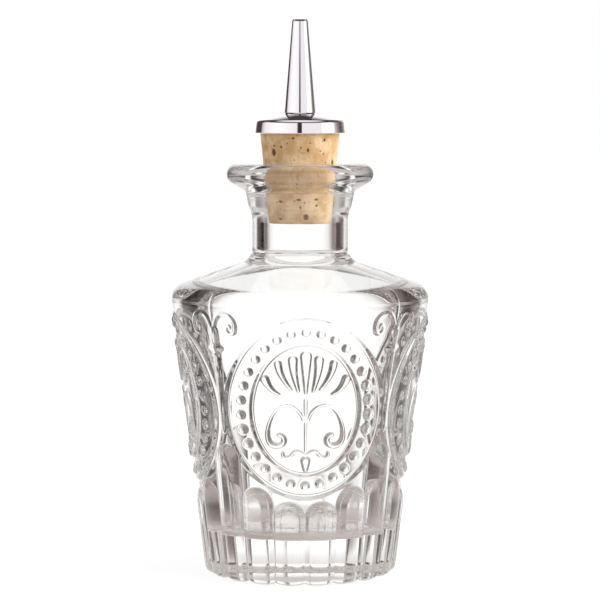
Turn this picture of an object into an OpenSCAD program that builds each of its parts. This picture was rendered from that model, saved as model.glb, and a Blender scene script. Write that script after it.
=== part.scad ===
// Dasher bitters bottle: a pressed-glass bottle with a ribbed foot, an oval medallion on its
// front and on either side, and a plain back, closed by a tapered cork that carries a chromed
// cap and a conical dash spout.
// Millimetres, +Z up. The origin is on the bottle's axis at its resting face, and the front
// faces -Y.

/* [Glass body] */
// Radius of the tapered body at the foot
foot_r = 26.9; // [26:0.1:28.5]
// Radius of the tapered body just under the shoulder
body_top_r = 35.4; // [34.5:0.1:35.5]
// Height at which the body ends and the shoulder begins
body_top_z = 72.8; // [72:0.1:74]
// Radius of the shoulder, the bottle's widest part
shoulder_r = 35.8; // [35.6:0.1:37]
// Radius of the foot's rounded outer edge
foot_round = 2.2; // [1.5:0.1:3]
// How far the plain ground lies under the crests of the ribs
ground_drop = 1.3; // [0.9:0.1:1.4]

/* [Neck and lip] */
// Height of the glass, up to the top of the lip
glass_h = 113.9; // [112:0.1:118]
// Radius of the neck's straight outside
neck_r = 13.3; // [12.8:0.1:14]
// Radius of the flared lip
lip_r = 20.4; // [19.5:0.1:21.5]
// Radius of the bore in the neck
bore_r = 10.1; // [9.8:0.1:10.2]
// Radius of the bore at the mouth, where the cork seats
mouth_r = 10.3; // [10.2:0.1:10.5]

/* [Cavity] */
// Height of the inside floor above the resting face
floor_z = 12.2; // [10:0.2:15]
// Radius of the cavity's wall at the floor
floor_r = 22.6; // [20:0.2:23]
// Radius of the cavity's wall under the shoulder
cavity_top_r = 28.8; // [27:0.2:29.5]

/* [Medallions] */
// Half width of a medallion
medal_a = 21.3; // [20.5:0.1:21.5]
// Half height of a medallion
medal_b = 23.6; // [22:0.1:24]
// Height of the medallions' centres
medal_z = 49.1; // [48:0.1:49.5]
// Half width of the raised field in a medallion
field_a = 14.5; // [12:0.1:15]
// Half height of the raised field in a medallion
field_b = 17.8; // [14:0.1:18.5]

/* [Ribbed foot] */
// Radius of a rib's round back
rib_back_r = 12; // [10:0.5:14]
// Height of the rib heads under a medallion
rib_low_z = 23.3; // [20:0.1:24]
// Height of the rib heads on either side of those
rib_mid_z = 27.1; // [24:0.1:28]
// Height of the rib heads between two medallions
rib_high_z = 38.2; // [30:0.1:40]

/* [Stopper] */
// Length of the cork
cork_l = 27.4; // [26:0.1:28]
// Radius of the cork's upper end
cork_top_r = 11.2; // [11.1:0.1:11.3]
// Radius of the cork's lower end
cork_end_r = 8.6; // [8:0.1:8.7]
// Radius of the cap's skirt at its lower edge
cap_r = 12.5; // [12.2:0.1:13]
// Height of the spout above the cap
spout_l = 25.9; // [22:0.1:32]
// Radius of the spout at its tip
spout_tip_r = 2.15; // [2:0.05:2.4]
// Radius of the spout at its base
spout_base_r = 4.3; // [4:0.1:4.8]
// Radius of the hole at the tip
outlet_r = 1.2; // [0.9:0.1:1.4]
// Outside radius of the tube through the cork
stem_r = 2.6; // [2.4:0.1:3]
// Radius of the tube's bore
stem_bore_r = 1.7; // [1.4:0.1:1.9]
// Radius of the fine hole in the flow insert
drip_r = 0.6; // [0.4:0.1:0.9]

/* [Hidden] */
$fn = 64;

// The body's taper
taper_z0 = 1.8;
taper = (body_top_r - foot_r) / (body_top_z - 1 - taper_z0);
taper_angle = atan(taper);
function body_r(z) = foot_r + taper * (z - taper_z0);

// Shoulder, neck and lip
shoulder_slope = 16.1;
shoulder_round = 4.6;
shoulder_z = body_top_z + 3.4;
ground_rise_z = body_top_z - 14.8;   // from here the ground rises to meet the shoulder
neck_fillet = 4.6;
neck_z0 = glass_h - 23.3;
neck_z1 = glass_h - 16.3;
neck_flare = 9;
collar_r = 15.1;
collar_z0 = glass_h - 8.9;
collar_z1 = glass_h - 7.9;
lip_round = 2.9;
lip_under_angle = 32;
mouth_round = 0.8;

// Cavity
floor_round = 3.5;
knee_z = body_top_z + 3.1;
knee_round = 2.4;
inner_slope = 24;
bore_z0 = neck_z0 - 2.8;
bore_fillet = 3.4;
mouth_taper_z = glass_h - 8;

// Medallions
plaque_flatness = 4.7;   // how much larger than the body's the medallions' radius is
band_drop = 0.7;          // how far the flat band that carries the beads lies under the crests
field_drop = 0.3;         // the same for the raised field

// Ribbed foot: each quarter turn holds five ribs
rib_pitch = 18;
rib_heads = [rib_low_z, rib_mid_z, rib_high_z, rib_mid_z, rib_low_z];
rib_head_r = sqrt(rib_back_r * rib_back_r - pow(rib_back_r - ground_drop, 2));
foot_flat_r = foot_r - foot_round - 0.3;
ground_flat_r = foot_r - foot_round - ground_drop;
recess_r = 17;
recess_depth = 1.1;

// Stopper, built up from the cap's lower edge
cap_z0 = glass_h + 8.2;
cap_skirt_h = 3.1;
cap_round = 0.4;
cap_flare = 0.3;
cap_dome_h = 2.2;
cap_wall_gap = 0.4;
cap_edge_z = cap_z0 + cap_skirt_h;
cap_dome_z = cap_edge_z + cap_round + cap_dome_h;
cap_dome_r = (pow(cap_r - cap_flare, 2) + cap_dome_h * cap_dome_h) / (2 * cap_dome_h);
seat_z = cap_dome_z - 0.3;
cork_z1 = cap_edge_z - 0.4;
cork_z0 = cork_z1 - cork_l;
cork_chamfer = 0.4;
spout_z1 = seat_z + spout_l;
spout_lip = 0.5;
outlet_l = 6;
stem_head_z = seat_z + 7;
barb_z0 = cork_z0 + 3;
barb_pitch = 5;
barb_h = 1.8;
barb_rise = 0.35;
barb_n = 4;
insert_sink = 0.3;
insert_dish = 0.9;
insert_l = 5;

// Points on an arc about (cx, cz), from angle a0 to angle a1, in n steps
function arc(cx, cz, r, a0, a1, n) =
    [for (i = [0:n]) let (a = a0 + (a1 - a0) * i / n) [cx + r * cos(a), cz + r * sin(a)]];

// How far the ground lies under the crests at height z
function ground_under(z) =
    let (t = max(0, (z - ground_rise_z) / (shoulder_z - ground_rise_z)))
    ground_drop * (1 - t * t * (3 - 2 * t));

// The plain ground's profile: the body under its ornament, the shoulder, the neck and the lip
module glass_outline() {
    lip_z = glass_h - lip_round - 0.2;
    polygon(concat(
        [[0, 0], [ground_flat_r + 0.3, 0]],
        arc(ground_flat_r, foot_round, foot_round, -80, -8, 6),
        [for (z = [ground_rise_z:3:shoulder_z - 3]) [body_r(z) - ground_under(z), z]],
        arc(shoulder_r - shoulder_round, shoulder_z, shoulder_round, -taper_angle, 90 - shoulder_slope, 7),
        arc(neck_r + neck_fillet, neck_z0, neck_fillet, 250, 180, 6),
        arc(neck_r + neck_flare, neck_z1, neck_flare, 180, 150, 5),
        [[collar_r, collar_z0], [collar_r, collar_z1]],
        arc(lip_r - lip_round, lip_z, lip_round, lip_under_angle - 90, 90, 10),
        [[lip_r - lip_round - 2, glass_h], [0, glass_h]]
    ));
}

// The hollow inside: floor, wall, shoulder, bore and mouth
module cavity_outline() {
    mouth_z = glass_h - mouth_round;
    polygon(concat(
        [[0, floor_z]],
        arc(floor_r - floor_round, floor_z + floor_round, floor_round, -90, -4, 6),
        arc(cavity_top_r - knee_round, knee_z, knee_round, -4, 90 - inner_slope, 7),
        arc(bore_r + bore_fillet, bore_z0, bore_fillet, 245, 180, 5),
        [[bore_r, mouth_taper_z], [mouth_r, mouth_z]],
        arc(mouth_r + mouth_round, mouth_z, mouth_round, 180, 90, 4),
        [[mouth_r + mouth_round, glass_h + 1], [0, glass_h + 1]]
    ));
}

// An oval of half width a and half height b
module oval(a, b) {
    scale([1, b / a]) circle(a);
}

// A tapered body of the bottle's slope, flatter than it by plaque_flatness, facing -Y
module flat_cone(rise) {
    z0 = medal_z - medal_b - 3;
    z1 = medal_z + medal_b + 3;
    translate([0, plaque_flatness, z0])
        cylinder(r1 = body_r(z0) + plaque_flatness + rise,
                 r2 = body_r(z1) + plaque_flatness + rise, h = z1 - z0);
}

// An oval of half width a and half height b raised on the front, drop under the crests
module raised_oval(a, b, drop) {
    intersection() {
        translate([0, -14, medal_z]) rotate([90, 0, 0]) linear_extrude(50) oval(a, b);
        flat_cone(-drop);
    }
}

// One medallion: the band that carries the beads, and the field raised inside it
module medallion() {
    raised_oval(medal_a, medal_b, band_drop);
    raised_oval(field_a, field_b, field_drop);
}

// One round-headed rib of the foot, leaning with the body's taper
module rib(head_z) {
    l = (head_z - rib_head_r) / cos(taper_angle);
    rotate([0, taper_angle, 0]) translate([foot_r - rib_back_r - taper * taper_z0, 0, 0]) {
        translate([0, 0, -4]) cylinder(r = rib_back_r, h = l + 4);
        translate([0, 0, l]) sphere(rib_back_r);
    }
}

// The ring of ribs, rounded under at the foot
module ribbed_foot() {
    intersection() {
        for (q = [0:3], i = [0:4])
            rotate(90 * q + rib_pitch * (i - 2) - 45) rib(rib_heads[i]);
        rotate_extrude() polygon(concat(
            [[0, 0], [foot_flat_r, 0]],
            arc(foot_r - foot_round, foot_round, foot_round, -80, 0, 6),
            [[foot_r + 9, rib_high_z + 4], [0, rib_high_z + 4]]
        ));
    }
}

// The shallow dish under the bottle
module recess() {
    dish_r = (recess_r * recess_r + recess_depth * recess_depth) / (2 * recess_depth);
    translate([0, 0, recess_depth - dish_r]) sphere(dish_r, $fn = 128);
}

// The glass bottle
module bottle() {
    color([0.92, 0.95, 0.94, 0.35])
        difference() {
            union() {
                rotate_extrude() glass_outline();
                ribbed_foot();
                for (side = [-90, 0, 90])
                    rotate(side) medallion();
            }
            rotate_extrude() cavity_outline();
            recess();
        }
}

// The tapered natural cork, which seats at the mouth and stands clear of the neck below it
module cork() {
    color([0.83, 0.66, 0.43])
        rotate_extrude() polygon(concat(
            [[stem_r, cork_z0], [cork_end_r - cork_chamfer, cork_z0], [cork_end_r, cork_z0 + cork_chamfer],
             [cork_top_r, cork_z1 - cork_chamfer], [cork_top_r - cork_chamfer, cork_z1], [stem_r, cork_z1]],
            [for (i = [barb_n - 1:-1:0]) let (z = barb_z0 + i * barb_pitch) each
                [[stem_r, z + barb_h], [stem_r + barb_rise, z + barb_h], [stem_r, z]]]
        ));
}

// The pressed metal cap: a low dome with a plain skirt and a flat seat for the spout
module cap() {
    color([0.8, 0.8, 0.82])
        difference() {
            rotate_extrude() intersection() {
                polygon(concat(
                    [[stem_r, cap_z0], [cap_r, cap_z0]],
                    arc(cap_r - cap_flare - cap_round, cap_edge_z, cap_round, 0, 90, 5),
                    [[cap_r - cap_flare - cap_round, cap_dome_z], [spout_base_r + 0.1, cap_dome_z],
                     [spout_base_r + 0.1, seat_z], [stem_r, seat_z]]
                ));
                translate([0, cap_dome_z - cap_dome_r]) circle(cap_dome_r, $fn = 360);
            }
            translate([0, 0, cap_z0 - 1]) cylinder(r = cork_top_r + cap_wall_gap, h = cork_z1 - cap_z0 + 1);
        }
}

// The conical spout, hollow over the tube's upper end
module spout() {
    color([0.8, 0.8, 0.82])
        rotate_extrude() polygon([
            [stem_r, seat_z],
            [spout_base_r - 0.2, seat_z],
            [spout_base_r, seat_z + 0.3],
            [spout_tip_r + 0.05, spout_z1 - spout_lip],
            [spout_tip_r - 0.15, spout_z1],
            [outlet_r, spout_z1],
            [outlet_r, spout_z1 - outlet_l],
            [stem_bore_r, stem_head_z + 2],
            [stem_bore_r, stem_head_z],
            [stem_r, stem_head_z]
        ]);
}

// The pour tube, ringed with barbs that grip the cork
module stem() {
    color([0.7, 0.7, 0.72])
        rotate_extrude() polygon(concat(
            [[stem_bore_r, cork_z0], [stem_r, cork_z0]],
            [for (i = [0:barb_n - 1]) let (z = barb_z0 + i * barb_pitch) each
                [[stem_r, z], [stem_r + barb_rise, z + barb_h], [stem_r, z + barb_h]]],
            [[stem_r, stem_head_z], [stem_bore_r, stem_head_z]]
        ));
}

// The plug in the tube's lower end, whose fine hole turns the flow into dashes
module flow_insert() {
    color([0.9, 0.9, 0.88])
        rotate_extrude() polygon([
            [drip_r, cork_z0 + insert_dish],
            [stem_bore_r, cork_z0 + insert_sink],
            [stem_bore_r, cork_z0 + insert_sink + insert_l],
            [drip_r, cork_z0 + insert_sink + insert_l]
        ]);
}

bottle();
cork();
cap();
spout();
stem();
flow_insert();
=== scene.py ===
import math

import bpy
import numpy as np
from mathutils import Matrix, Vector


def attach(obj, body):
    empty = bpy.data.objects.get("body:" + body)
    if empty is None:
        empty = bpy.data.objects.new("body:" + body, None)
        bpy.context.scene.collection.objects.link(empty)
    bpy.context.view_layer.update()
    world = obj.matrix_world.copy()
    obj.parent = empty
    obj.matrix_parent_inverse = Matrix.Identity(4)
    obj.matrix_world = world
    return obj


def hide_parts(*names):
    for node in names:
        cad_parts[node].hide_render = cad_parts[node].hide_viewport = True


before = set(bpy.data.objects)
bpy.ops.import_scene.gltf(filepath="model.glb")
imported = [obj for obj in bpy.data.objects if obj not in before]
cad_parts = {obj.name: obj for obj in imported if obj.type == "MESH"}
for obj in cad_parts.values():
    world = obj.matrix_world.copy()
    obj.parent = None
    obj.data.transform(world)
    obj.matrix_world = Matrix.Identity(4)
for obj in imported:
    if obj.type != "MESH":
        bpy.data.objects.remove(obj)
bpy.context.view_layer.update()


# The glass bottle: clear flint glass pressed in one piece, with a ribbed foot, an oval medallion
# on three of its faces, scrolls up its two front corners and a plain back. The mould's four parts
# left a fine line over each corner of the shoulder, and the inside is smooth.
MM = 0.001


def arc(centre, radius, start, end, step=4.0):
    """Points on an arc from angle start to angle end, in degrees, step degrees apart."""
    count = max(2, int(abs(end - start) / step) + 1)
    angles = np.radians(np.linspace(start, end, count))
    return [(centre[0] + radius * math.cos(a), centre[1] + radius * math.sin(a)) for a in angles]


def curve(start, pull_a, pull_b, end, count=16):
    """Points on a cubic curve."""
    t = np.linspace(0, 1, count)[:, None]
    a, b, c, d = (np.array(p, float) for p in (start, pull_a, pull_b, end))
    return a * (1 - t) ** 3 + 3 * b * t * (1 - t) ** 2 + 3 * c * t**2 * (1 - t) + d * t**3


def spaced(points, spacing):
    """The same path with its points an even distance apart."""
    points = np.array(points, float)
    run = np.concatenate([[0], np.cumsum(np.hypot(*np.diff(points, axis=0).T))])
    at = np.linspace(0, run[-1], max(2, int(round(run[-1] / spacing)) + 1))
    return np.column_stack([np.interp(at, run, points[:, i]) for i in range(2)])


def smooth_step(low, high, x):
    """0 below low, 1 above high and a smooth rise between."""
    t = np.clip((x - low) / (high - low), 0, 1)
    return t * t * (3 - 2 * t)


# Millimetres. The outside's envelope, up the crests of the ribs and over the shoulder.
foot_r, taper_z0, taper, straight_z = 26.9, 1.8, 0.1214, (3, 68)
foot_round, recess_r, recess_depth = 2.0, 17.0, 1.1
shoulder_r, shoulder_z, shoulder_round, shoulder_slope = 35.8, 76.2, 4.6, 17.0
neck_r, neck_z, neck_round, neck_straight, neck_flare = 13.3, 90.6, 4.6, 7, 9
collar_r, collar_z, collar_bulge = 15.1, 105.5, ((-0.12, -0.5), (0.06, 0), (-0.02, 0.5))
glass_h, lip_r, lip_round, lip_crown_r, lip_crown = 113.9, 20.4, 2.9, 15.2, 0.2
centre_r = 0.02
lean = math.degrees(math.atan(taper))


def body_r(z):
    return foot_r + taper * (z - taper_z0)


flat_r = foot_r - foot_round
under = [(centre_r, recess_depth), (6, recess_depth * 0.88), (12, recess_depth * 0.5), (recess_r, 0.05)]
worked_outside = (
    [(recess_r + 0.6, 0.0), (flat_r, 0.0)]
    + arc((flat_r, foot_round), foot_round, -86, -lean)
    + [(body_r(z), z) for z in straight_z]
    + arc((shoulder_r - shoulder_round, shoulder_z), shoulder_round, -lean, 90 - shoulder_slope)
)
plain_outside = (
    arc((neck_r + neck_round, neck_z), neck_round, 250, 182)
    + arc((neck_r + neck_flare, neck_z + neck_straight), neck_flare, 179, 152)
    + [(collar_r + out, collar_z + up) for out, up in collar_bulge]
    + arc((lip_r - lip_round, glass_h - lip_round - lip_crown), lip_round, -58, 84)
)

# The inside, from the mouth down to the middle of the floor
mouth_r, mouth_round, mouth_depth = 10.3, 0.8, 8
bore_r, bore_flare, bore_drop, inner_lean = 10.1, 3.4, 2.8, 5
cavity_top_r, knee_z, knee_round, knee_slope = 28.8, 75.9, 2.4, 24.0
floor_r, floor_round, floor_z = 22.6, 3.5, 12.2
inside = (
    [(lip_crown_r, glass_h - 0.02)]
    + arc((mouth_r + mouth_round, glass_h - mouth_round), mouth_round, 92, 180)
    + [(bore_r, glass_h - mouth_depth)]
    + arc((bore_r + bore_flare, neck_z - bore_drop), bore_flare, 180, 245)
    + arc((cavity_top_r - knee_round, knee_z), knee_round, 90 - knee_slope, -inner_lean)
    + arc((floor_r - floor_round, floor_z + floor_round), floor_round, -inner_lean, -88)
    + [(12, floor_z), (centre_r, floor_z)]
)

# Heights of the ornament over the envelope. The ground between the ribs rises to the shoulder,
# the relief fades out under the foot and above the shoulder, and none of it stands out past
# ornament_r.
ground_height, band_height, field_height, band_step = -1.3, -0.8, -0.42, 0.4
ground_rise_z, foot_fade_r, top_fade_z = (58, 77), (19.5, 24.5), (80.0, 80.7)
ornament_r, least_r = 35.74, 20

# The corners: where the scroll begins and where the mould's line does, and that line's size
scroll_begin_z, seam_begin_z, seam_rise, seam_half_w = (38, 44), (68, 72), 0.12, 0.3

# The medallion: its edge, the ring of beads and the raised field. A groove runs round outside
# the edge and another round the field, each with a slope of its own width and depth. The face is
# flatter than the body, being rounded about a line that is flatness behind the axis.
medal_a, medal_b, medal_z, flatness = 21.35, 23.9, 49.1, 1.0
edge_w, edge_groove_w, edge_groove = 0.8, 1.2, 0.36
field_a, field_b, field_edge_w, field_groove_w, field_groove = 14.4, 17.7, 0.55, 0.95, 0.5
bead_ring_a, bead_ring_b, bead_n, bead_r, bead_rise = 17.6, 21.0, 30, 1.35, 0.74

# The ribs: five to a quarter turn, the tallest at the corners, and how square their backs are
rib_half_w, rib_back = 4.85, 2.6
rib_heads = {9: 23.3, 27: 27.1, 45: 38.2}

# How wide the sloping side of a raised stroke is
stroke_side_w = 0.65


def stroke(u, v, points, start_w, end_w, height):
    """Height of a flat-topped stroke along points, its half width going from start_w to end_w."""
    best = np.zeros_like(u)
    share = np.linspace(0, 1, len(points))
    for i in range(len(points) - 1):
        p, d = points[i], points[i + 1] - points[i]
        t = np.clip(((u - p[0]) * d[0] + (v - p[1]) * d[1]) / max(d @ d, 1e-9), 0, 1)
        away = np.hypot(u - p[0] - t * d[0], v - p[1] - t * d[1])
        width = start_w + (end_w - start_w) * (share[i] + t * (share[i + 1] - share[i]))
        best = np.maximum(best, (width - away) / stroke_side_w)
    return height * np.clip(best, 0, 1)


def palmette(u, v):
    """The relief in a medallion's field: a fan of lobes over a pair of scrolls. u runs across
    the face and v up it, from the medallion's middle."""
    u = np.abs(u)
    strokes = (
        (curve((0, 4.6), (0, 8), (0, 11), (0, 14.6)), 0.6, 1.7, 0.68),
        (curve((2.0, 5.0), (2.6, 7.4), (3.6, 10.4), (3.5, 13.6)), 0.55, 1.4, 0.74),
        (curve((3.9, 5.4), (5.4, 7.2), (7.2, 9.6), (7.5, 12.5)), 0.5, 1.15, 0.74),
        (curve((7.2, 4.2), (8.8, 4.8), (10.2, 6.2), (11.0, 8.2)), 0.5, 1.25, 0.74),
        (curve((0.6, -2.8), (2.0, 1.4), (6.4, 3.0), (8.9, -1.6)), 0.55, 0.45, 0.74),
        (curve((8.9, -1.6), (10.8, -5.4), (10.9, -9.9), (7.8, -10.0)), 0.45, 0.95, 0.74),
        (curve((7.8, -10.0), (5.2, -10.0), (5.2, -7.0), (7.2, -6.9)), 0.95, 0.7, 0.68),
        (curve((0, 2.6), (0, -2), (0, -8), (0, -13.4)), 0.7, 0.4, 0.5),
        (curve((0.2, -12.4), (1.4, -11.6), (2.4, -10.8), (3.4, -12.0)), 0.5, 0.55, 0.74),
        (curve((3.4, -12.0), (4.4, -13.6), (6.2, -13.7), (6.2, -11.9)), 0.55, 0.5, 0.74),
        (curve((0, -14.0), (0, -14.9), (0, -15.6), (0, -16.4)), 1.4, 0.8, 0.74),
    )
    return np.max([stroke(u, v, *s) for s in strokes], axis=0)


def corner_scroll(c, z):
    """The relief up a corner: a stem with a lozenge, opening into two volutes at the shoulder.
    c is the distance round the bottle from the corner."""
    c = np.abs(c)
    volute = np.vstack([
        curve((0.2, 69.5), (0.9, 72.5), (2.0, 74.6), (4.3, 74.4)),
        curve((4.3, 74.4), (7.4, 74.1), (8.3, 71.6), (7.2, 69.6))[1:],
    ])
    strokes = (
        (volute, 0.6, 0.75, 0.5),
        (curve((7.2, 69.6), (6.4, 68.6), (5.2, 69.0), (4.9, 69.9)), 0.7, 0.5, 0.4),
        (curve((4.9, 69.9), (4.6, 71.2), (6.0, 71.8), (6.1, 70.7)), 0.5, 0.55, 0.4),
        (curve((0, 69.5), (0, 60), (0, 52), (0, 42)), 1.7, 0.6, 0.55),
    )
    lozenge = np.clip(1.25 * (1 - c / 2.9 - np.abs(z - 64.8) / 2.3), 0, 1)
    return np.maximum(np.max([stroke(c, z, *s) for s in strokes], axis=0), 0.75 * lozenge**0.6)


def grooved(height, inside, up, width, depth):
    """The height with a groove outside an edge: a slope down over its width, and back up the edge,
    where up goes from 0 to 1. inside is the distance inside the edge."""
    slope = np.clip(1 + inside / width, 0, 1)
    return height - depth * np.where(inside < 0, slope, 1 - up)


def inside_oval(u, v, a, b):
    """Distance inside an oval's edge, negative outside it."""
    k = np.maximum(np.hypot(u / a, v / b), 1e-3)
    return (1 - k) * k / np.maximum(np.hypot(u / a**2, v / b**2), 1e-3)


def oval_points(a, b, count):
    """Points evenly spaced along an oval, the first at its top."""
    t = np.radians(np.linspace(0, 360, 721))
    x, y = a * np.sin(t), b * np.cos(t)
    run = np.concatenate([[0], np.cumsum(np.hypot(np.diff(x), np.diff(y)))])
    at = np.arange(count) * run[-1] / count
    return np.column_stack([np.interp(at, run, x), np.interp(at, run, y)])


def ribs(phi, z, r):
    """Height of the nearest rib over the envelope, with its round head."""
    best = np.full_like(r, ground_height)
    for at, head in rib_heads.items():
        for side in (-1, 1):
            across = r * np.radians(phi - side * at)
            above = np.maximum(z - (head - rib_half_w), 0)
            best = np.maximum(best, ground_height * (np.hypot(across, above) / rib_half_w) ** rib_back)
    return best


def medallion(phi, r, z, ground):
    """Height of the medallion's face, and the distance inside its edge."""
    turn = np.radians(phi)
    u, v = r * np.sin(turn), z - medal_z
    flat = np.sqrt((r + flatness) ** 2 - (flatness * np.sin(turn)) ** 2) - flatness * np.cos(turn) - r
    in_field = inside_oval(u, v, field_a, field_b)
    field = np.clip(in_field / field_edge_w, 0, 1)
    band = np.maximum(band_height, ground + band_step)
    band = grooved(band, in_field, field, field_groove_w, field_groove)
    face = band + (field_height - band_height) * field + field * palmette(u, v)
    for bead_u, bead_v in oval_points(bead_ring_a, bead_ring_b, bead_n):
        away = np.hypot(u - bead_u, v - bead_v)
        near = away < bead_r
        dome = 1 - (away[near] / bead_r) ** 2
        face[near] = np.maximum(face[near], band[near] + bead_rise * dome)
    return face + flat, inside_oval(u, v, medal_a, medal_b)


def relief(phi, r, z, medal, scrolls):
    """Height over the envelope for one quarter of the outside, phi degrees from its middle.
    scrolls has -1, 1 or both, for the sides of the quarter that have a corner scroll."""
    corner = r * np.radians(45 - np.abs(phi))
    ground = ground_height * (1 - smooth_step(*ground_rise_z, z))
    scroll = corner_scroll(corner, z) * smooth_step(*scroll_begin_z, z) * np.isin(np.sign(phi), scrolls)
    height = np.maximum(ground + scroll, ribs(phi, z, r))
    if medal:
        face, in_medal = medallion(phi, r, z, ground)
        on = np.clip(in_medal / edge_w, 0, 1)
        height = grooved(height, in_medal, on, edge_groove_w, edge_groove)
        height = height * (1 - on) + np.maximum(face, height) * on
    seam = seam_rise * np.exp(-((corner / seam_half_w) ** 2)) * smooth_step(*seam_begin_z, z)
    return np.minimum(height, ornament_r - r) + seam


def softened(height):
    """The height with its corners rounded, as fire leaves them."""
    height = (np.roll(height, 1, 1) + 2 * height + np.roll(height, -1, 1)) / 4
    height[1:-1] = (height[:-2] + 2 * height[1:-1] + height[2:]) / 4
    return height


def turned(path, angles):
    """A path of (radius, height) turned through angles, as rows of points in metres."""
    path = np.array(path, float)[:, :, None] * MM
    r, z = path[:, 0], path[:, 1]
    return np.stack([r * np.cos(angles), r * np.sin(angles), z + 0 * angles], axis=2)


def band_faces(rows, columns, first):
    """Quads between rows of points that close on themselves, from point number first on."""
    at = first + np.arange(rows - 1)[:, None] * columns
    this, following = at + np.arange(columns), at + (np.arange(columns) + 1) % columns
    quads = np.stack([this, following, following + columns, this + columns], axis=2)
    return quads.reshape(-1, 4).tolist()


def bottle_mesh():
    """The bottle as one closed mesh, with a finer grid where the outside is worked."""
    fine_n, coarse = 1080, 4
    worked_gap, under_gap, plain_gap, inside_gap = 0.21, 0.8, 0.4, 0.6
    path = spaced(worked_outside, worked_gap)
    r, z = path.T
    out = np.column_stack([np.gradient(z), -np.gradient(r)])
    out /= np.linalg.norm(out, axis=1)[:, None]
    quarter = np.arange(fine_n // 4) * 360 / fine_n - 45
    phi, rr = np.meshgrid(quarter, r)
    zz = np.repeat(z[:, None], len(quarter), axis=1)
    # The front, the right, the back and the left: if it has a medallion, and its sides with a scroll
    quarters = ((True, (-1, 1)), (True, (-1,)), (False, ()), (True, (1,)))
    worked_heights = [relief(phi, np.maximum(rr, least_r), zz, *made) for made in quarters]
    height = softened(np.hstack(worked_heights))
    height *= (smooth_step(*foot_fade_r, r) * (1 - smooth_step(*top_fade_z, z)))[:, None]
    angles = np.radians(np.arange(fine_n) * 360 / fine_n - 135)
    worked_r = (r[:, None] + height * out[:, :1]) * MM
    worked_z = (z[:, None] + height * out[:, 1:]) * MM
    worked = np.stack([worked_r * np.cos(angles), worked_r * np.sin(angles), worked_z], axis=2)

    plain_n = fine_n // coarse
    foot = turned(spaced(under, under_gap), angles[::coarse])
    plain = np.vstack([spaced(plain_outside, plain_gap), spaced(inside, inside_gap)])
    rest = turned(plain, angles[::coarse])
    blocks = [foot, worked, rest]
    starts = np.cumsum([0] + [block.shape[0] * block.shape[1] for block in blocks])
    faces = []
    for block, first in zip(blocks, starts, strict=False):
        faces += band_faces(block.shape[0], block.shape[1], first)
    for i in range(plain_n):
        j = (i + 1) % plain_n
        fine = [(i * coarse + k) % fine_n for k in range(coarse + 1)]
        low = [int(starts[1] + k) for k in reversed(fine)]
        high = [int(starts[2] - fine_n + k) for k in fine]
        faces.append([int(starts[1] - plain_n + i), int(starts[1] - plain_n + j), *low])
        faces.append([*high, int(starts[2] + j), int(starts[2] + i)])
    faces.append(list(range(plain_n))[::-1])
    faces.append([int(starts[3] - plain_n + i) for i in range(plain_n)])
    mesh = bpy.data.meshes.new("glass_bottle")
    mesh.from_pydata(np.concatenate([block.reshape(-1, 3) for block in blocks]), [], faces)
    mesh.shade_smooth()
    return mesh


class Socket:
    """A shader node's socket, so that shader maths is written as plain expressions."""

    def __init__(self, tree, link):
        self.tree, self.link = tree, link

    def maths(self, operation, *others):
        return node(self.tree, "ShaderNodeMath", {"operation": operation}, [self, *others])

    def into(self, shader, name):
        self.tree.links.new(self.link, shader.inputs[name])

    def __add__(self, other):
        return self.maths("ADD", other)

    def __mul__(self, other):
        return self.maths("MULTIPLY", other)

    __radd__, __rmul__ = __add__, __mul__


def node(tree, kind, settings=None, values=(), output=0):
    """A new node with its settings made first and then the values or links of its sockets. It
    gives one output by its number or name, or several where output is a tuple of names."""
    new = tree.nodes.new(kind)
    for key, value in (settings or {}).items():
        if key == "stops":
            ramp = new.color_ramp.elements
            while len(ramp) < len(value):
                ramp.new(0.5)
            for element, (place, colour) in zip(ramp, value, strict=True):
                element.position = place
                element.color = (*colour, 1)
        else:
            setattr(new, key, value)
    pairs = values.items() if isinstance(values, dict) else enumerate(values)
    for key, value in pairs:
        if isinstance(value, Socket):
            tree.links.new(value.link, new.inputs[key])
        else:
            new.inputs[key].default_value = value
    if isinstance(output, tuple):
        return [Socket(tree, new.outputs[name]) for name in output]
    return Socket(tree, new.outputs[output])


def finish_named(name):
    """A new material, its tree and its main shader."""
    material = bpy.data.materials.new(name)
    material.use_nodes = True
    return material, material.node_tree, material.node_tree.nodes["Principled BSDF"]


def piece(name, mesh, material):
    """A new object of a mesh in a material."""
    mesh.materials.append(material)
    new = bpy.data.objects.new(name, mesh)
    bpy.context.scene.collection.objects.link(new)
    return new


def bumped(tree, shader, height, distance):
    """Gives the shader a surface raised by height, a value from 0 to 1, times distance."""
    values = {"Strength": 1.0, "Distance": distance, "Height": height}
    node(tree, "ShaderNodeBump", {}, values).into(shader, "Normal")


def place_on(tree, stretch=(1, 1, 1)):
    """Where a point is on its piece, with each axis stretched."""
    place = node(tree, "ShaderNodeTexCoord", output="Object")
    return node(tree, "ShaderNodeVectorMath", {"operation": "MULTIPLY"}, [place, stretch])


def cloud(tree, place, per_metre, detail=2.0):
    """Soft random mottling from 0 to 1, with per_metre patches to the metre."""
    return node(tree, "ShaderNodeTexNoise", {}, {"Vector": place, "Scale": per_metre, "Detail": detail})


def blend(tree, share, colour_a, colour_b):
    """Colour a where share is 0 and colour b where it is 1. The sockets go by number, because a
    Mix node has some of the same name for each kind of value."""
    pair = [c if isinstance(c, Socket) else (*c, 1) for c in (colour_a, colour_b)]
    return node(tree, "ShaderNodeMix", {"data_type": "RGBA"}, {0: share, 6: pair[0], 7: pair[1]}, 2)


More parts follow.
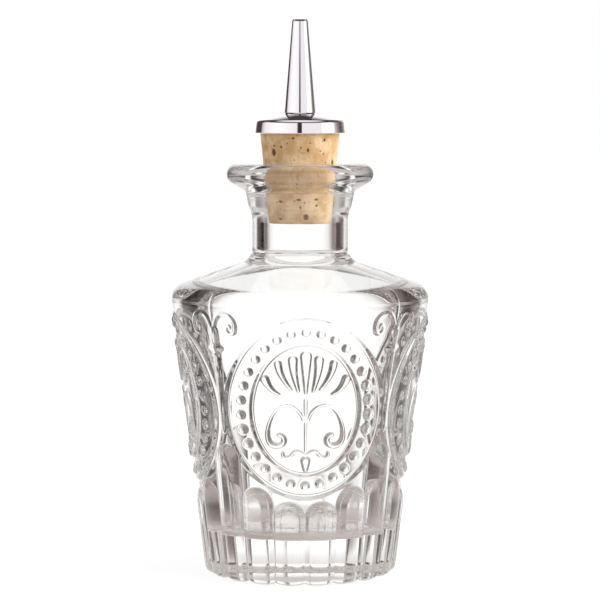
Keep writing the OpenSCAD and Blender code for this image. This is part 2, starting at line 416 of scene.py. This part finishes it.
glass, tree, shader = finish_named("flint_glass")
shader.inputs["Roughness"].default_value = 0.0
shader.inputs["IOR"].default_value = 1.5
shader.inputs["Transmission Weight"].default_value = 1.0
place = place_on(tree)
tint = blend(tree, cloud(tree, place, 25), (0.985, 0.992, 0.984), (0.997, 0.998, 0.995))
tint.into(shader, "Base Color")
bumped(tree, shader, cloud(tree, place, 110, 1.0), 0.00003)
bottle = piece("glass_bottle", bottle_mesh(), glass)
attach(bottle, "bottle")
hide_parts("bottle")


# The cork: a tapered stopper punched from natural cork, pressed into the neck. Its pores show
# as dark pits on the side, and a hole runs up its middle for the metal stem.
cork_low_z, cork_top_z, cork_low_r, cork_top_r = 97.4, 124.8, 8.6, 11.2
cork_bore_r, cork_bore_edge, cork_edge = 2.62, 0.3, 0.45
pore_edge, pore_margin = 1.35, 1.5
# The large pores: degrees from the front to the right, height, half width, half height, depth
pores = [
    (-47, 117.0, 0.75, 1.05, 0.8), (-45, 118.8, 0.3, 0.35, 0.4), (9, 117.6, 0.3, 0.55, 0.5),
    (36, 120.4, 0.3, 0.45, 0.5), (-13, 120.9, 0.35, 0.3, 0.4), (-32, 118.5, 0.25, 0.3, 0.35),
    (7, 99.7, 0.65, 0.95, 0.8), (-38, 99.0, 0.5, 0.3, 0.5), (-35, 104.0, 0.55, 0.3, 0.5),
    (-5, 104.5, 0.5, 0.28, 0.45), (23, 104.6, 0.5, 0.28, 0.45), (24, 102.9, 0.3, 0.28, 0.4),
]


def small_pores(count, seed):
    """Pores scattered over the side, and the rest of the large ones round the back."""
    rng = np.random.default_rng(seed)
    found = []
    for i in range(count):
        large = i % 6 == 0
        at = rng.uniform(55, 305) if large else rng.uniform(0, 360)
        z = rng.uniform(cork_low_z + pore_margin, cork_top_z - pore_margin)
        size = rng.uniform(0.3, 0.65) if large else rng.uniform(0.12, 0.24)
        found.append((at, z, size, size * rng.uniform(0.7, 1.5), size * 0.9))
    return found


def ring_mesh(name, points):
    """A closed mesh of rows of points, its last row joined to its first."""
    rows, columns = points.shape[:2]
    turn = np.arange(columns)
    last = (rows - 1) * columns
    join = np.column_stack([last + turn, last + (turn + 1) % columns, (turn + 1) % columns, turn])
    mesh = bpy.data.meshes.new(name)
    mesh.from_pydata(points.reshape(-1, 3), [], band_faces(rows, columns, 0) + join.tolist())
    mesh.shade_smooth()
    return mesh


def cork_mesh():
    """The stopper turned round its axis, with its pores sunk into the side."""
    columns, side_gap, end_gap = 480, 0.14, 0.5
    cork_lean = math.degrees(math.atan((cork_top_r - cork_low_r) / (cork_top_z - cork_low_z)))
    side = spaced(
        arc((cork_low_r - cork_edge, cork_low_z + cork_edge), cork_edge, -88, -cork_lean, 15)
        + arc((cork_top_r - cork_edge, cork_top_z - cork_edge), cork_edge, -cork_lean, 88, 15),
        side_gap,
    )
    bore_end_r = cork_bore_r + cork_bore_edge
    top = [(8, cork_top_z), (bore_end_r, cork_top_z), (cork_bore_r, cork_top_z - cork_bore_edge)]
    low = [(cork_bore_r, cork_low_z + cork_bore_edge), (bore_end_r, cork_low_z), (6, cork_low_z)]
    path = np.vstack([side, spaced(top, end_gap), spaced(low, end_gap)])
    turn = np.radians(np.arange(columns) * 360 / columns)
    points = turned(path, turn - math.pi / 2)
    r, z = (np.repeat(path[:, i, None], columns, axis=1) for i in range(2))
    sunk, darkness = np.zeros_like(r), np.zeros_like(r)
    for at, pore_z, half_w, half_h, depth in pores + small_pores(95, 7):
        across = r * ((turn - math.radians(at) + math.pi) % (2 * math.pi) - math.pi)
        away = (across / half_w) ** 2 + ((z - pore_z) / half_h) ** 2
        shape = np.clip(pore_edge - away, 0, 1)
        shape[len(side):] = 0
        sunk = np.maximum(sunk, depth * shape)
        darkness = np.maximum(darkness, smooth_step(0.1, 0.6, shape))
    points[:, :, :2] *= (1 - sunk / r)[:, :, None]
    mesh = ring_mesh("cork_stopper", points)
    mesh.attributes.new("pore", "FLOAT", "POINT").data.foreach_set("value", darkness.ravel())
    return mesh


def fade(tree, value, low, high):
    """0 where value is low, 1 where it is high and a smooth change between."""
    return node(tree, "ShaderNodeMapRange", {"interpolation_type": "SMOOTHSTEP"},
                {"Value": value, "From Min": low, "From Max": high})


cork_look, tree, shader = finish_named("natural_cork")
shader.inputs["Roughness"].default_value = 0.85
shader.inputs["Specular IOR Level"].default_value = 0.25
place = place_on(tree)
grain = cloud(tree, place_on(tree, (1, 1, 0.25)), 900, 4.0)
patches = cloud(tree, place, 260, 3.0)
specks = node(tree, "ShaderNodeMapRange", {}, {"Value": cloud(tree, place, 1500, 2.0),
                                               "From Min": 0.62, "From Max": 0.72})
pale = blend(tree, fade(tree, patches, 0.36, 0.64), (0.78, 0.58, 0.36), (0.56, 0.35, 0.17))
streaked = blend(tree, grain * 0.45, pale, (0.46, 0.28, 0.13))
speckled = blend(tree, specks * 0.55, streaked, (0.30, 0.16, 0.06))
in_pore = node(tree, "ShaderNodeAttribute", {"attribute_name": "pore"}, output="Fac")
blend(tree, in_pore * 0.85, speckled, (0.16, 0.05, 0.01)).into(shader, "Base Color")
bumped(tree, shader, grain * 0.5 + patches * 0.5, 0.00015)
cork = piece("cork_stopper", cork_mesh(), cork_look)
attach(cork, "stopper")
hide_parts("cork")


# The metal: a pressed cap over the cork, the spout drawn from sheet and the stem of tube that
# holds them together. All are polished and plated with chrome, which has faint wipe marks.
def plated(name, colour_a, colour_b, rough_low, rough_high):
    """Bright plating whose colour and polish vary faintly along and across the piece."""
    look, tree, shader = finish_named(name)
    shader.inputs["Metallic"].default_value = 1.0
    place = place_on(tree)
    wiped = cloud(tree, place_on(tree, (1, 1, 0.2)), 420, 3.0)
    blend(tree, cloud(tree, place, 70), colour_a, colour_b).into(shader, "Base Color")
    (wiped * (rough_high - rough_low) + rough_low).into(shader, "Roughness")
    bumped(tree, shader, cloud(tree, place, 150, 1.0), 0.000004)
    return look


chrome = plated("polished_chrome", (0.87, 0.84, 0.88), (0.83, 0.79, 0.82), 0.015, 0.05)
tube_metal = plated("drawn_tube", (0.72, 0.69, 0.68), (0.62, 0.59, 0.58), 0.16, 0.3)
cap_low_z, cap_top_z, cap_dome_h = 122.1, 127.8, 2.2
cap_low_r, cap_high_r, cap_corner, cap_lean, cap_wall_r = 12.5, 12.2, 1.15, 5.5, 11.6
cap_hem, cap_columns = 0.25, 240
cap_inside_z = cork_top_z + 0.02
seat_r, seat_z = 4.42, 127.5
dome_r = (cap_high_r**2 + cap_dome_h**2) / (2 * cap_dome_h)
dome_begin = math.degrees(math.asin((seat_r + 0.15) / dome_r))
dome_end = math.degrees(math.asin((cap_high_r - cap_corner) / (dome_r - cap_corner)))
corner_z = cap_top_z - dome_r + (dome_r - cap_corner) * math.cos(math.radians(dome_end))
cap_path = np.vstack([
    spaced([(cork_bore_r, seat_z), (seat_r, seat_z)], 0.3),
    spaced(arc((0, cap_top_z - dome_r), dome_r, 90 - dome_begin, 90 - dome_end, 0.5), 0.3),
    spaced(arc((cap_high_r - cap_corner, corner_z), cap_corner, 86 - dome_end, cap_lean, 3), 0.06),
    spaced(arc((cap_low_r - cap_hem, cap_low_z + cap_hem), cap_hem, cap_lean, -90, 12), 0.05),
    spaced([(cap_wall_r, cap_low_z), (cap_wall_r, cap_inside_z), (cork_bore_r, cap_inside_z)], 0.6),
])
cap_angles = np.radians(np.arange(cap_columns) * 360 / cap_columns)
cap = piece("metal_cap", ring_mesh("metal_cap", turned(cap_path[::-1], cap_angles)), chrome)
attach(cap, "stopper")
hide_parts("cap")
for name, look in (("spout", chrome), ("stem", tube_metal)):
    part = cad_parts[name].data
    part.materials.clear()
    part.materials.append(look)


# The flow insert: a small plug moulded in white plastic, pushed into the stem to slow the drops.
# It has the fine grain of its mould and no paint.
plastic, tree, shader = finish_named("white_plastic")
shader.inputs["Coat Weight"].default_value = 0.15
place = place_on(tree)
mottled = blend(tree, cloud(tree, place, 300), (0.83, 0.82, 0.79), (0.76, 0.75, 0.72))
mottled.into(shader, "Base Color")
(cloud(tree, place, 1200) * 0.15 + 0.35).into(shader, "Roughness")
bumped(tree, shader, cloud(tree, place, 2500, 3.0), 0.00002)
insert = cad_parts["flow_insert"].data
insert.materials.clear()
insert.materials.append(plastic)


# The studio: a white sheet runs back under the bottle to a lit white wall, and the room on either
# side is darker and warm. What the glass lets through, what the metal mirrors and what lights the
# cork each have tones of their own, and only the white sheet and wall are seen straight.
white, upper_room, room_dark = (1.0, 1.0, 1.0), (0.6, 0.56, 0.535), (0.075, 0.06, 0.058)
floor_shade, reach, sheet_z = 0.2, 3.0, -0.0001
# Metres from the bottle where the shadow painted on the sheet close under it gives way, and where the
# metal sees it white
painted_shadow_to_far, sheet_to_white = (0.05, 0.13), (0.45, 0.9)
# How steeply up, from 0 level to 1 overhead, the glass and the metal see the room give way
room_to_upper, room_to_dark, dark_to_white = (0.1, 0.42), (0.36, 0.62), (0.78, 0.92)
# Tones lose some green and blue below a brightness
neutral_from, green_loss, blue_loss = 0.95, 0.27, 0.33
# Brightness by the angle round the bottle, from straight behind it to the right. First what the
# glass lets through from the room, from the sheet beyond the bottle and from the shadow painted
# on the sheet close under it.
room_through = [
    (-180, 0.9), (-130, 0.78), (-95, 0.85), (-70, 0.58), (-54, 0.34), (-44, 0.16), (-36, 0.07),
    (-25, 0.07), (-20, 0.45), (-15, 1.0), (-9, 1.16), (11, 1.16), (17, 1.02), (22, 0.55),
    (27, 0.12), (38, 0.1), (47, 0.3), (60, 0.54), (95, 0.84), (130, 0.78), (180, 0.9),
]
sheet_through = [
    (-180, 0.8), (-150, 0.66), (-130, 0.48), (-95, 0.46), (-70, 0.08), (-52, 0.02), (-31, 0.02),
    (-24, 0.12), (-18, 0.66), (-14, 1.0), (-9, 1.14), (11, 1.14), (17, 0.98), (24, 0.42),
    (31, 0.16), (40, 0.07), (52, 0.06), (70, 0.18), (95, 0.62), (130, 0.66), (150, 0.74), (180, 0.8),
]
# The sheet close under the bottle, darker than further off: a painted shadow of the bottle
painted_shadow_through = [
    (-180, 0.5), (-130, 0.4), (-85, 0.38), (-45, 0.38), (-21, 0.58), (0, 0.86), (21, 0.6), (45, 0.42),
    (85, 0.46), (130, 0.54), (180, 0.5),
]
# Then what the metal mirrors of the room and of the sheet
room_mirrored = [
    (-180, 0.05), (-172, 0.05), (-169, 1.0), (-150, 1.1), (-118, 1.25), (-75, 1.0), (-63, 0.6),
    (-58, 0.08), (-35, 0.08), (-21, 0.3), (-16, 1.15), (15, 1.15), (20, 0.6), (38, 0.33), (50, 0.12),
    (60, 0.2), (71, 0.4), (80, 0.7), (87, 1.5), (120, 1.5), (126, 1.0), (177, 1.0), (178.5, 0.05),
]
sheet_mirrored = [
    (-180, 0.15), (-30, 0.12), (-21, 0.3), (-15, 1.0), (15, 1.0), (21, 0.4), (32, 0.15), (180, 0.15),
]
# And the light on the cork, which comes more from the right. The glass gathers more of it.
room_lamps = [
    (-180, 0.72), (-90, 0.85), (0, 0.85), (50, 1.2), (70, 4.4), (125, 4.4), (150, 1.2), (180, 0.72),
]
gathered = 1.45
ray_kinds = ("Is Camera Ray", "Is Transmission Ray", "Diffuse Depth")


def angle_tones(tree, x, y, levels):
    """Colours from levels by the angle round the bottle, the dark ones warm."""
    stops = []
    for angle, level in levels:
        warm = max(0.0, 1 - level / neutral_from)
        colour = (level, level * (1 - green_loss * warm), level * (1 - blue_loss * warm))
        stops.append(((angle + 180) / 360, colour))
    share = x.maths("ARCTAN2", y) * (0.5 / math.pi) + 0.5
    return node(tree, "ShaderNodeValToRGB", {"stops": stops}, [share])


floor_look, tree, shader = finish_named("white_sheet")
tree.nodes.remove(shader)
place = node(tree, "ShaderNodeTexCoord", output="Object")
x, y = node(tree, "ShaderNodeSeparateXYZ", {}, [place], ("X", "Y"))
away = (x * x + y * y).maths("SQRT")
camera_ray, let_through, bounces = node(tree, "ShaderNodeLightPath", output=ray_kinds)
# Close under the bottle the sheet takes the painted shadow's darker tones, which give way to the far
# sheet
close = angle_tones(tree, x, y, painted_shadow_through)
through = blend(tree, fade(tree, away, *painted_shadow_to_far), close, angle_tones(tree, x, y, sheet_through))
in_metal = angle_tones(tree, x, y, sheet_mirrored)
mirrored = blend(tree, fade(tree, away, *sheet_to_white), white, in_metal)
tone = blend(tree, let_through, mirrored, through)
tone = blend(tree, bounces.maths("GREATER_THAN", 0.5), tone, white)
lit = node(tree, "ShaderNodeBsdfDiffuse", {}, {"Color": (*[floor_shade] * 3, 1)})
glow = node(tree, "ShaderNodeEmission", {}, {"Strength": 1.0 - floor_shade})
seen = node(tree, "ShaderNodeAddShader", {}, [lit, glow])
toned = node(tree, "ShaderNodeEmission", {}, {"Color": tone})
surface = node(tree, "ShaderNodeMixShader", {}, [camera_ray, toned, seen])
surface.into(tree.nodes["Material Output"], "Surface")
mesh = bpy.data.meshes.new("floor")
corners = ((-reach, -reach), (reach, -reach), (reach, reach), (-reach, reach))
mesh.from_pydata([(*corner, sheet_z) for corner in corners], [], [(0, 1, 2, 3)])
piece("floor", mesh, floor_look)

world = bpy.data.worlds.new("studio")
world.use_nodes = True
bpy.context.scene.world = world
tree = world.node_tree
heading = node(tree, "ShaderNodeTexCoord", output="Generated")
x, y, z = node(tree, "ShaderNodeSeparateXYZ", {}, [heading], ("X", "Y", "Z"))
camera_ray, let_through, bounces = node(tree, "ShaderNodeLightPath", output=ray_kinds)
through = blend(tree, fade(tree, z, *room_to_upper), angle_tones(tree, x, y, room_through), upper_room)
mirrored = blend(tree, fade(tree, z, *room_to_dark), angle_tones(tree, x, y, room_mirrored), room_dark)
mirrored = blend(tree, fade(tree, z, *dark_to_white), mirrored, white)
tone = blend(tree, let_through, mirrored, through)
on_cork = bounces.maths("GREATER_THAN", 0.5)
tone = blend(tree, on_cork, tone, angle_tones(tree, x, y, room_lamps))
tone = blend(tree, camera_ray, tone, white)
tone.into(tree.nodes["Background"], "Color")
(on_cork * let_through * (gathered - 1) + 1).into(tree.nodes["Background"], "Strength")

camera = bpy.data.objects.new("camera", bpy.data.cameras.new("camera"))
bpy.context.scene.collection.objects.link(camera)
camera_turn, camera_away, camera_z, aim_z = math.radians(-2.7), 0.680, 0.13625, 0.0757
camera.location = (camera_away * math.sin(camera_turn), -camera_away * math.cos(camera_turn), camera_z)
camera.rotation_euler = (Vector((0, 0, aim_z)) - camera.location).to_track_quat("-Z", "Y").to_euler()
camera.data.sensor_width = 36
camera.data.lens = 147
camera.data.clip_start = 0.05
bpy.context.scene.camera = camera

bpy.context.scene.view_settings.view_transform = "Standard"
bpy.context.scene.cycles.max_bounces = 24
bpy.context.scene.cycles.transmission_bounces = 24
bpy.context.scene.cycles.glossy_bounces = 12
bpy.context.scene.cycles.transparent_max_bounces = 24
